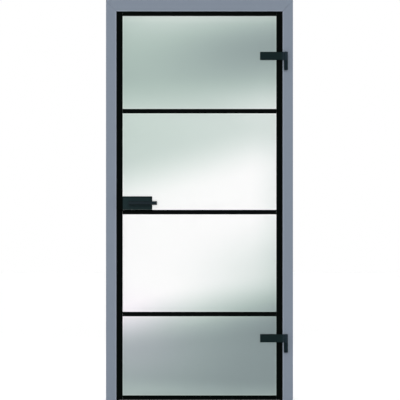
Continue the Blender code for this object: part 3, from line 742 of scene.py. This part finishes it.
# An outline carried from start to end along one axis, its rim rounded by a quarter circle:
# inset = round x (1 - sin a) and depth = round x (1 - cos a), for a from 0 to 90 degrees.
def softPrism(points, normals, start, end, rounding, steps=4):
    angle = np.linspace(0, pi / 2, steps + 1)
    inset = rounding * (1 - np.sin(angle))
    depth = rounding * (1 - np.cos(angle))
    inset = np.concatenate((inset, inset[::-1]))
    along = np.concatenate((start + depth, end - depth[::-1]))
    rings = points[None] - inset[:, None, None] * normals[None]
    height = np.broadcast_to(along[:, None, None], rings.shape[:2] + (1,))
    return np.concatenate((rings, height), -1)


# A flat band inside an outline: rings at the outline and a width inside it, at start and at end.
def flatBand(points, normals, start, end, width):
    inner = points - width * normals
    rings = np.stack((points, points, inner, inner))
    height = np.broadcast_to(np.array((start, end, end, start))[:, None, None], rings.shape[:2] + (1,))
    return np.concatenate((rings, height), -1)


# A surface of revolution: radius and height of each ring, turned round the z axis.
def turned(profile, sides=64):
    profile = np.array(profile, float)
    angle = np.linspace(0, 2 * pi, sides, endpoint=False)
    radius, height = profile[:, :1], profile[:, 1:]
    return np.stack((
        radius * np.cos(angle), radius * np.sin(angle), np.broadcast_to(height, (len(profile), sides)),
    ), -1)


# Profile of a round bar from foot to head, its two rims rounded by quarter circles. A groove, given as
# height, depth and half its width, is a V turned into its side.
def roundedRod(radius, foot, head, rounding, steps=5, groove=None):
    angle = np.linspace(0, pi / 2, steps + 1)
    out = radius - rounding * (1 - np.sin(angle))
    up = rounding * (1 - np.cos(angle))
    rows = [np.column_stack((out, foot + up))]
    if groove:
        level, depth, half = groove
        rows.append(((radius, level - half), (radius - depth, level), (radius, level + half)))
    rows.append(np.column_stack((out[::-1], head - up[::-1])))
    return np.concatenate(rows)


# Turns a shape made along z so that it runs along another direction, right-handed, and moves it.
def aim(points, across, up, along, place):
    frameMatrix = np.array((across, up, along), float)
    return points @ frameMatrix + np.array(place, float)


steelEdges = {
    "merge": 0.000001,
    "flatUpTo": radians(1),
    "sharpFrom": radians(50),
    "segments": 3,
    "smoothUpTo": radians(14),
    "strikeRound": 0.0003,
    "receiverRound": 0.0005,
}


# A node's own solid with rounded edges: doubles merged, flat triangles joined, sharp edges bevelled.
def softened(name, newName, width, material, body):
    mesh = nodes[name].data.copy()
    mesh.materials.clear()
    shape = bmesh.new()
    shape.from_mesh(mesh)
    bmesh.ops.remove_doubles(shape, verts=shape.verts, dist=steelEdges["merge"])
    bmesh.ops.dissolve_limit(shape, angle_limit=steelEdges["flatUpTo"], verts=shape.verts, edges=shape.edges)
    sharp = [edge for edge in shape.edges if edge.calc_face_angle(0) > steelEdges["sharpFrom"]]
    bmesh.ops.bevel(shape, geom=sharp, offset=width, segments=steelEdges["segments"], profile=0.5,
                    affect="EDGES", clamp_overlap=True)
    shape.to_mesh(mesh)
    shape.free()
    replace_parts(addPiece(newName, mesh, material, body, steelEdges["smoothUpTo"]), name)


softened("strike_plate", "strike", steelEdges["strikeRound"], brushedSteel, "frame")
for level in ("upper", "lower"):
    softened(f"hinge_{level}_receiver", f"receiver_{level}", steelEdges["receiverRound"], brushedSteel,
             "frame")
print("steel pieces rounded")


# seal: a soft bulb with two grooves along its face, and a foot in the lining's slot

sealShape = {
    "thickness": 0.0036,
    "round": 0.0017,
    "tight": 0.0002,
    "grooves": (-0.0016, 0.0016),  # from the bulb's middle
    "grooveHalf": 0.0007,
    "grooveDepth": 0.0007,
    "footHalf": 0.0011,
    "mitreGap": 0.00005,
    "steps": 6,
}


# The outline counts out from the rebate wall and into the wall. At each mitre the length grows with the
# distance out: reach = half the opening + out, and height = the opening's top + out.
def makeSeal(side):
    low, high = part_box("seal_head")
    inner, outer = low.z - openingTop, high.z - openingTop
    middle, front, back = (inner + outer) / 2, low.y, low.y + sealShape["thickness"]
    tight, half = sealShape["tight"], sealShape["footHalf"]
    corners = [(inner, back, tight), (inner, front, sealShape["round"])]
    for groove in sealShape["grooves"]:
        corners += [
            (middle + groove - sealShape["grooveHalf"], front, tight),
            (middle + groove, front + sealShape["grooveDepth"], tight),
            (middle + groove + sealShape["grooveHalf"], front, tight),
        ]
    corners += [
        (outer, front, sealShape["round"]), (outer, back, tight), (middle + half, back, tight),
        (middle + half, high.y, tight), (middle - half, high.y, tight), (middle - half, back, tight),
    ]
    arcs = arcCorners(corners, sealShape["steps"])[0]
    out, into = arcs.reshape(-1, 2).T
    reach, top = openingHalf + out, openingTop + out
    if side == "head":
        along = (reach - sealShape["mitreGap"], sealShape["mitreGap"] - reach)
        ends = [np.column_stack((middleX + end, into, top)) for end in along]
    else:
        across = middleX + (reach if side == "hinge_side" else -reach)
        heights = (np.zeros_like(top), top - sealShape["mitreGap"])
        ends = [np.column_stack((across, into, end)) for end in heights]
    rows = np.stack(ends)
    if side == "lock_side":
        rows = rows[:, ::-1]
    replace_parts(loopMesh(f"rubber_{side}", rows, sealRubber, "frame"), f"seal_{side}")


for side in ("hinge_side", "lock_side", "head"):
    makeSeal(side)
print("seal built")


# gaskets: a thin band round the edge of each plate, between it and the glass

gasket = {"inset": 0.0004, "width": 0.005, "corner": 0.002, "clear": 0.00002, "steps": 5}


def makeGasket(name, low, high, start, end):
    inset, corner = gasket["inset"], gasket["corner"]
    arcs, normals = arcCorners((
        (low.x + inset, low.z + inset, corner), (high.x - inset, low.z + inset, corner),
        (high.x - inset, high.z - inset, corner), (low.x + inset, high.z - inset, corner),
    ), gasket["steps"])
    band = flatBand(arcs.reshape(-1, 2), normals.reshape(-1, 2), -end + gasket["clear"],
                    -start - gasket["clear"], gasket["width"])
    band = aim(band, (1, 0, 0), (0, 0, 1), (0, -1, 0), (0, 0, 0))
    loopMesh(name, band, sealRubber, "leaf", ring=True)


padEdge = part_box("front_stile_hinge_side")[0].x
for level in ("upper", "lower"):
    low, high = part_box(f"hinge_{level}_leaf_plate")
    high.x = padEdge
    makeGasket(f"gasket_front_{level}", low, high, glassLow.y - fit, glassLow.y)
    low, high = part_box(f"hinge_{level}_clamp_plate")
    makeGasket(f"gasket_rear_{level}", low, high, glassHigh.y, low.y)
low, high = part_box("lock_case")
makeGasket("gasket_front_lock", low, high, glassLow.y - fit, glassLow.y)
low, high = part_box("lock_rear_plate")
makeGasket("gasket_rear_lock", low, high, glassHigh.y, low.y)
print("gaskets built")


# levers: a flat bar with a round end over the spindle, on a turned neck with a small fillet

lever = {
    "depth": 0.010,
    "tipCorner": 0.0015,
    "roundEnd": 0.0001,  # how far the round end's radius falls short of half the height
    "arcSteps": 16,
    "rim": 0.0008,
    "neckRadius": 0.0076,
    "neckInBar": 0.001,
    "neckFillet": 0.0010,
    "filletSteps": 6,
    "collarHole": 0.0079,
    "collarRadius": 0.0102,
    "collarHeight": 0.0012,
    "collarRim": 0.0006,
}


def makeLever(name, outward):
    low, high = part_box(name)
    half = (high.z - low.z) / 2
    centreX, centreZ = low.x + half, low.z + half
    reach = high.x - centreX
    endRound, tip = half - lever["roundEnd"], lever["tipCorner"]
    arcs, normals = arcCorners((
        (-half, -half, endRound), (reach, -half, tip), (reach, half, tip), (-half, half, endRound),
    ), lever["arcSteps"])
    face = low.y if outward < 0 else high.y
    back = face - outward * lever["depth"]
    start, end = sorted((face, back))
    bar = softPrism(arcs.reshape(-1, 2), normals.reshape(-1, 2), -end, -start, lever["rim"])
    bar = aim(bar, (1, 0, 0), (0, 0, 1), (0, -1, 0), (centreX, 0, centreZ))
    finish = makeAnthracite(f"anthracite_{name}", hardware["lever"], low, high)
    barPiece = loopMesh(f"{name}_bar", bar, finish, "handle")
    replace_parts(barPiece, name)
    # the neck's fillet is a quarter circle from its side out to the bar's back
    foot = high.y if outward < 0 else low.y
    length = abs(foot - back)
    angle = np.linspace(0, pi / 2, lever["filletSteps"] + 1)
    fillet = np.column_stack((
        lever["neckRadius"] + lever["neckFillet"] * (1 - np.cos(angle)),
        length - lever["neckFillet"] * (1 - np.sin(angle)),
    ))
    profile = np.concatenate((
        ((lever["neckRadius"], 0.0),), fillet, ((fillet[-1, 0], length + lever["neckInBar"]),),
    ))
    neck = aim(turned(profile), (1, 0, 0), (0, 0, -outward), (0, outward, 0), (centreX, foot, centreZ))
    loopMesh(f"{name}_neck", neck, finish, "handle")
    # a collar on the lock's face, round the neck: its outer rim is a quarter circle
    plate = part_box("lock_case")[0].y if outward < 0 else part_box("lock_rear_plate")[1].y
    rim = lever["collarRim"]
    ring = np.concatenate((
        ((lever["collarRadius"], 0.0),),
        np.column_stack((
            lever["collarRadius"] - rim * (1 - np.cos(angle)),
            lever["collarHeight"] - rim * (1 - np.sin(angle)),
        )),
        ((lever["collarHole"], lever["collarHeight"]), (lever["collarHole"], 0.0)),
    ))
    collar = aim(turned(ring), (1, 0, 0), (0, 0, -outward), (0, outward, 0), (centreX, plate, centreZ))
    loopMesh(f"{name}_collar", collar, finish, "leaf", ring=True)


makeLever("lever_front", -1)
makeLever("lever_rear", 1)
print("levers built")


# hinges: clamp plate with its knuckle, turned barrel on the frame, tongue, bearing ring and boss

hinge = {
    "plateFront": -0.012,  # from the casing's front
    "armBack": -0.00525,
    "bodyEdge": 0.008,  # inside the opening's edge
    "corner": 0.0025,
    "sharpCorner": 0.0004,
    "rim": 0.0008,
    "creaseStep": 0.0001,  # from the crease to the last point of the flat front
    "knuckleSteps": 72,
    "barrelGap": 0.0004,
    "tongueHalf": 0.004,
    "tongueHeight": 0.044,
    "tongueRound": 0.0005,
    "groove": (0.0065, 0.0005, 0.0006),  # above the barrel's foot, depth, half its width
    "ringRadius": 0.0094,
    "ringRim": 0.0001,
    "ringGap": 0.00003,
    "bossRadius": 0.007,
    "bossRim": 0.0003,
    "bossInPlate": 0.002,
    "bossSides": 32,
    "bosses": (0.022, 0.062),  # from the plate's end
}


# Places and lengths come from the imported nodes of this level.
def makeHinge(level):
    plateNode, knuckleNode = f"hinge_{level}_leaf_plate", f"hinge_{level}_frame_knuckle"
    low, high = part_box(plateNode)
    rodLow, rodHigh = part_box(knuckleNode)
    radius = (rodHigh.x - rodLow.x) / 2
    axisX, axisY = (rodLow.x + rodHigh.x) / 2, rodLow.y + radius
    front, armBack = wallFace + hinge["plateFront"], wallFace + hinge["armBack"]
    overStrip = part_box("front_stile_hinge_side")[0].y - fit
    onGlass = glassLow.y - fit
    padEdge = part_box("front_stile_hinge_side")[0].x - fit
    bodyEdge = middleX + openingHalf - hinge["bodyEdge"]

    # seen from above: pad on the glass, arm over the casing, and the knuckle round the pin
    rise = asin((front - axisY) / radius)
    crease = axisX - radius * cos(rise)
    finish = makeAnthracite(f"anthracite_{plateNode}", hardware["hinge"], low, high, crease=crease)
    arcs, normals = arcCorners((
        (low.x, onGlass, hinge["sharpCorner"]), (low.x, front, hinge["corner"]),
        (crease, front, 0), (axisX, armBack, 0), (bodyEdge, armBack, hinge["corner"]),
        (bodyEdge, overStrip, hinge["sharpCorner"]), (padEdge, overStrip, 0),
        (padEdge, onGlass, hinge["sharpCorner"]),
    ))
    angle = np.linspace(pi - rise, 2.5 * pi, hinge["knuckleSteps"] + 1)
    knuckleNormals = np.column_stack((np.cos(angle), np.sin(angle)))
    knuckle = np.array((axisX, axisY)) + radius * knuckleNormals
    outline = np.concatenate((
        arcs[:2].reshape(-1, 2), ((crease - hinge["creaseStep"], front),), knuckle,
        arcs[4:6].reshape(-1, 2), arcs[6, :1], arcs[7],
    ))
    # the inner corner has one point, whose normal is the middle one of its arc
    bend = normals[6, normals.shape[1] // 2][None]
    outwards = np.concatenate((
        normals[:2].reshape(-1, 2), ((0.0, -1.0),), knuckleNormals, normals[4:6].reshape(-1, 2),
        bend, normals[7],
    ))
    plate = softPrism(outline, outwards, low.z, high.z, hinge["rim"])
    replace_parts(loopMesh(f"hinge_{level}_plate", plate, finish, "leaf"), plateNode)

    # the turned barrel below it, on the frame
    barrelTop = low.z - hinge["barrelGap"]
    barrelFinish = makeAnthracite(f"anthracite_{knuckleNode}", hardware["barrel"], rodLow, rodHigh)
    above, depth, halfWidth = hinge["groove"]
    groove = (rodLow.z + above, depth, halfWidth)
    rod = roundedRod(radius, rodLow.z, barrelTop, hinge["rim"], groove=groove)
    barrel = turned(rod) + np.array((axisX, axisY, 0))
    barrelPiece = loopMesh(f"hinge_{level}_barrel", barrel, barrelFinish, "frame")
    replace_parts(barrelPiece, knuckleNode)
    half, corner = hinge["tongueHalf"], hinge["tongueRound"]
    middle = (rodLow.z + barrelTop) / 2
    arcs, normals = arcCorners((
        (axisX - half, axisY, corner), (axisX + half, axisY, corner),
        (axisX + half, rodHigh.y, corner), (axisX - half, rodHigh.y, corner),
    ), steps=4)
    tongue = softPrism(arcs.reshape(-1, 2), normals.reshape(-1, 2), middle - hinge["tongueHeight"] / 2,
                       middle + hinge["tongueHeight"] / 2, corner)
    loopMesh(f"hinge_{level}_tongue", tongue, barrelFinish, "frame")

    # bearing ring in the gap between the knuckles, and the bosses through the glass
    ring = turned(roundedRod(hinge["ringRadius"], barrelTop + hinge["ringGap"], low.z - hinge["ringGap"],
                             hinge["ringRim"], steps=2)) + np.array((axisX, axisY, 0))
    loopMesh(f"hinge_{level}_bearing_ring", ring, sealRubber, "frame")
    deep = hinge["bossInPlate"]
    for number, fromEnd in enumerate(hinge["bosses"]):
        profile = roundedRod(hinge["bossRadius"], 0.0, high.y - onGlass + deep, hinge["bossRim"], steps=3)
        boss = aim(turned(profile, hinge["bossSides"]), (1, 0, 0), (0, 0, -1), (0, 1, 0),
                   (low.x + fromEnd, onGlass - deep, (low.z + high.z) / 2))
        loopMesh(f"hinge_{level}_boss_{number + 1}", boss, finish, "leaf")


makeHinge("upper")
makeHinge("lower")
print("hinges built")


# screws: a flat round head with a bevelled rim and a hexagonal socket

# chamfer and depth are shares of the head's height, socket is a share of its radius
screw = {"chamfer": 0.2, "socket": 0.5, "depth": 0.7, "sides": 48}
fixings = {
    "clamp": {"radius": 0.0055, "height": 0.0012},
    "lock": {"radius": 0.0055, "height": 0.0012, "fromStile": (0.014, 0.122)},
    "plug": {"radius": 0.0060, "height": 0.0007},
    "flange": {"radius": 0.0042, "height": 0.0018, "fromEnd": 0.009, "thickness": 0.003},
    "strike": {"radius": 0.0034, "height": 0.0017, "fromLatch": 0.062, "sunk": 0.0014},
}


def makeScrew(name, place, along, kind, body, material):
    radius, height = fixings[kind]["radius"], fixings[kind]["height"]
    sides = screw["sides"]
    angle = np.linspace(0, 2 * pi, sides, endpoint=False)
    # a hexagon's radius is its flat distance over the cosine of the angle to the nearest flat
    hexagon = radius * screw["socket"] / np.cos((angle + pi / 6) % (pi / 3) - pi / 6)
    level = height * (1 - screw["chamfer"])
    radii = np.stack((
        np.full(sides, radius), np.full(sides, radius), np.full(sides, radius - height * screw["chamfer"]),
        hexagon, hexagon,
    ))
    heights = np.array((0, level, height, height, height * (1 - screw["depth"])))
    rings = np.stack((
        radii * np.cos(angle), radii * np.sin(angle), np.broadcast_to(heights[:, None], radii.shape),
    ), -1)
    along = np.array(along, float)
    across = np.roll(along, 1)
    up = np.cross(along, across)
    loopMesh(name, aim(rings, across, up, along, place), material, body)


darkScrew = makeAnthracite("anthraciteScrew", hardware["lock"], cadLow, cadHigh)
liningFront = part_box("lining_hinge_side")[0].y
for level in ("upper", "lower"):
    low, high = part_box(f"hinge_{level}_clamp_plate")
    for number, fromEnd in enumerate(hinge["bosses"]):
        makeScrew(f"clamp_screw_{level}_{number + 1}", (low.x + fromEnd, high.y, (low.z + high.z) / 2),
                  (0, 1, 0), "clamp", "leaf", darkScrew)
    rodLow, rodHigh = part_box(f"hinge_{level}_frame_knuckle")
    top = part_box(f"hinge_{level}_leaf_plate")[1].z
    radius = (rodHigh.x - rodLow.x) / 2
    makeScrew(f"hinge_{level}_plug", (rodLow.x + radius, rodLow.y + radius, top),
              (0, 0, 1), "plug", "leaf", darkScrew)
    low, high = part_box(f"hinge_{level}_receiver")
    flange = fixings["flange"]
    for number, height in enumerate((low.z + flange["fromEnd"], high.z - flange["fromEnd"])):
        makeScrew(f"receiver_screw_{level}_{number + 1}",
                  (low.x + flange["thickness"], (liningFront + high.y) / 2, height),
                  (1, 0, 0), "flange", "frame", brushedSteel)
low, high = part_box("lock_rear_plate")
for number, fromStile in enumerate(fixings["lock"]["fromStile"]):
    makeScrew(f"lock_screw_{number + 1}", (low.x + fromStile, high.y, (low.z + high.z) / 2),
              (0, 1, 0), "lock", "leaf", darkScrew)
low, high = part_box("strike_plate")
for number, side in enumerate((-1, 1)):
    height = (low.z + high.z) / 2 + side * fixings["strike"]["fromLatch"]
    makeScrew(f"strike_screw_{number + 1}",
              (high.x - fixings["strike"]["sunk"], (low.y + high.y) / 2, height),
              (1, 0, 0), "strike", "frame", brushedSteel)
print("screws placed")


# floor, background and light

room = {
    "floorSize": 60.0,
    "floorColour": (0.82, 0.82, 0.82, 1),
    "floorGlow": 0.42,
    "ambient": 0.28,
    "lampsAim": 1.0,  # height that the lamps point at
    "lamps": (  # name, place from the opening's middle, size, power
        ("frontLeft", (-3.2, -5.0, 3.4), 3.0, 26.0),
        ("frontRight", (3.6, -4.6, 2.4), 3.0, 15.0),
        ("rearLeft", (-3.4, 4.8, 3.2), 3.0, 26.0),
        ("rearRight", (3.4, 5.0, 2.6), 3.0, 15.0),
    ),
    "fills": (  # broad light with no glint: name, where it comes from, strength
        ("frontFill", (0.0, -1.0, 0.26), 1.41),
        ("rearFill", (0.12, 1.0, 0.26), 1.42),
        ("leftFill", (-1.0, 0.0, 0.3), 0.95),
        ("rightFill", (1.0, 0.0, 0.3), 0.95),
    ),
    "fillAngle": radians(20),
}


# 1 for a ray that shows the backdrop: straight from the camera, in a reflection or through the glass.
def backdropShows(tree):
    path = addNode(tree, "LightPath")
    seen = calc(tree, "MAXIMUM", path.outputs["Is Camera Ray"], path.outputs["Is Glossy Ray"])
    return calc(tree, "MAXIMUM", seen, path.outputs["Is Transmission Ray"])


def makeWorld():
    world = bpy.data.worlds.new("studio")
    world.use_nodes = True
    bpy.context.scene.world = world
    tree = world.node_tree
    tree.nodes.clear()
    seen = backdropShows(tree)
    dim = addNode(tree, "Background", {}, {"Color": (1, 1, 1, 1), "Strength": room["ambient"]})
    white = addNode(tree, "Background", {}, {"Color": (1, 1, 1, 1), "Strength": 1.0})
    mix = addNode(tree, "MixShader", {}, {0: seen, 1: dim.outputs[0], 2: white.outputs[0]})
    end = addNode(tree, "OutputWorld")
    tree.links.new(mix.outputs[0], end.inputs[0])


def makeFloor():
    half = room["floorSize"] / 2
    mesh = bpy.data.meshes.new("floor")
    corners = np.array([(-half, -half), (half, -half), (half, half), (-half, half)])
    points = np.column_stack((corners, np.zeros(4)))
    mesh.from_pydata(points.tolist(), [], [(0, 1, 2, 3)])
    floor = bpy.data.objects.new("floor", mesh)
    bpy.context.collection.objects.link(floor)
    made, tree, shader = newMaterial("floorPaint", {
        "Base Color": room["floorColour"], "Roughness": 0.8, "Specular IOR Level": 0.1,
        "Emission Color": (1, 1, 1, 1),
    })
    glow = calc(tree, "MULTIPLY", backdropShows(tree), room["floorGlow"])
    tree.links.new(glow, shader.inputs["Emission Strength"])
    mesh.materials.append(made)
    floor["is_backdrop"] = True


def makeLamps():
    for name, (x, y, z), size, power in room["lamps"]:
        data = bpy.data.lights.new(name, "AREA")
        data.size = size
        data.energy = power
        lamp = bpy.data.objects.new(name, data)
        lamp.location = (middleX + x, y, z)
        way = Vector((middleX, 0, room["lampsAim"])) - lamp.location
        lamp.rotation_euler = way.to_track_quat("-Z", "Y").to_euler()
        bpy.context.collection.objects.link(lamp)
    for name, way, strength in room["fills"]:
        data = bpy.data.lights.new(name, "SUN")
        data.angle = room["fillAngle"]
        data.energy = strength
        lamp = bpy.data.objects.new(name, data)
        lamp.rotation_euler = Vector(way).to_track_quat("Z", "Y").to_euler()
        lamp.visible_glossy = False
        lamp.visible_transmission = False
        bpy.context.collection.objects.link(lamp)


makeWorld()
makeFloor()
makeLamps()
print("room lit")

low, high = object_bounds()
